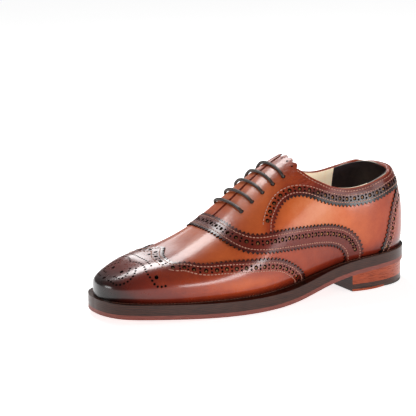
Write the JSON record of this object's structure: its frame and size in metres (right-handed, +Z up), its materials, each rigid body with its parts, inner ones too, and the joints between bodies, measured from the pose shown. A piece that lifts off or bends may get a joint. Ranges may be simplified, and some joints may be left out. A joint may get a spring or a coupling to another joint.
{
  "type": "leather oxford shoe",
  "caption": "Left-foot leather oxford with a wing-tip toe cap, brogued bands, closed lacing, welted leather sole and a stacked heel.",
  "frame": {"origin": "on the floor, half-way along the sole and half-way across its widest points", "axes": "+X towards the heel, +Y towards the inner side of the foot, +Z up"},
  "size_m": [0.3021, 0.1015, 0.1165],
  "materials": {
    "outsole_leather": "satin edge dressing over red leather",
    "sole_edge": "dark waxed sole edge",
    "heel_stack": "polished stacked leather",
    "rubber": "matt rubber",
    "steel": "brushed",
    "cork": "cork",
    "insole_leather": "natural vegetable-tanned leather",
    "cap_leather": "burnished dark red-brown calf",
    "vamp_leather": "polished red-brown calf",
    "quarter_leather": "polished tan calf",
    "trim_leather": "dark burnished brogued calf",
    "facing_leather": "burnished tan calf",
    "stiffener": "moulded leather board",
    "interlining": "cotton drill",
    "cream_lining": "matt cream lining leather",
    "black_lining": "matt black suede lining",
    "lace_cotton": "waxed cotton braid",
    "aglet": "gloss"
  },
  "bodies": {
    "shoe": {"outsole": "outsole_leather", "midsole": "sole_edge", "welt": "sole_edge", "heel_top_piece_leather": "heel_stack", "heel_top_piece_rubber": "rubber", "heel_base_lift": "sole_edge", "heel_lift_lower": "heel_stack", "heel_lift_upper": "heel_stack", "heel_seat_wedge": "heel_stack", "heel_nails": "steel", "shank": "steel", "cork_filler": "cork", "insole": "insole_leather", "sock_lining": "cream_lining", "vamp": "vamp_leather", "quarter_lateral": "quarter_leather", "quarter_medial": "quarter_leather", "wing_cap": "cap_leather", "vamp_band": "trim_leather", "facing_lateral": "facing_leather", "facing_medial": "facing_leather", "counter_cover": "quarter_leather", "toe_puff": "stiffener", "heel_counter": "stiffener", "vamp_interlining": "interlining", "quarter_interlining_lateral": "interlining", "quarter_interlining_medial": "interlining", "vamp_lining": "cream_lining", "quarter_lining_lateral": "cream_lining", "quarter_lining_medial": "cream_lining", "heel_lining": "black_lining", "lace": "lace_cotton", "lace_aglets": "aglet"},
    "tongue": {"tongue": "facing_leather", "tongue_lining": "cream_lining"}
  },
  "joints": [
    {"name": "tongue_flex", "type": "hinge", "parent": "shoe", "child": "tongue", "pos_m": [-0.042, 0.007, 0.0585], "axis": [0, 1, 0], "range_deg": [0, 18], "stiffness_Nm_per_rad": 0.5}
  ]
}
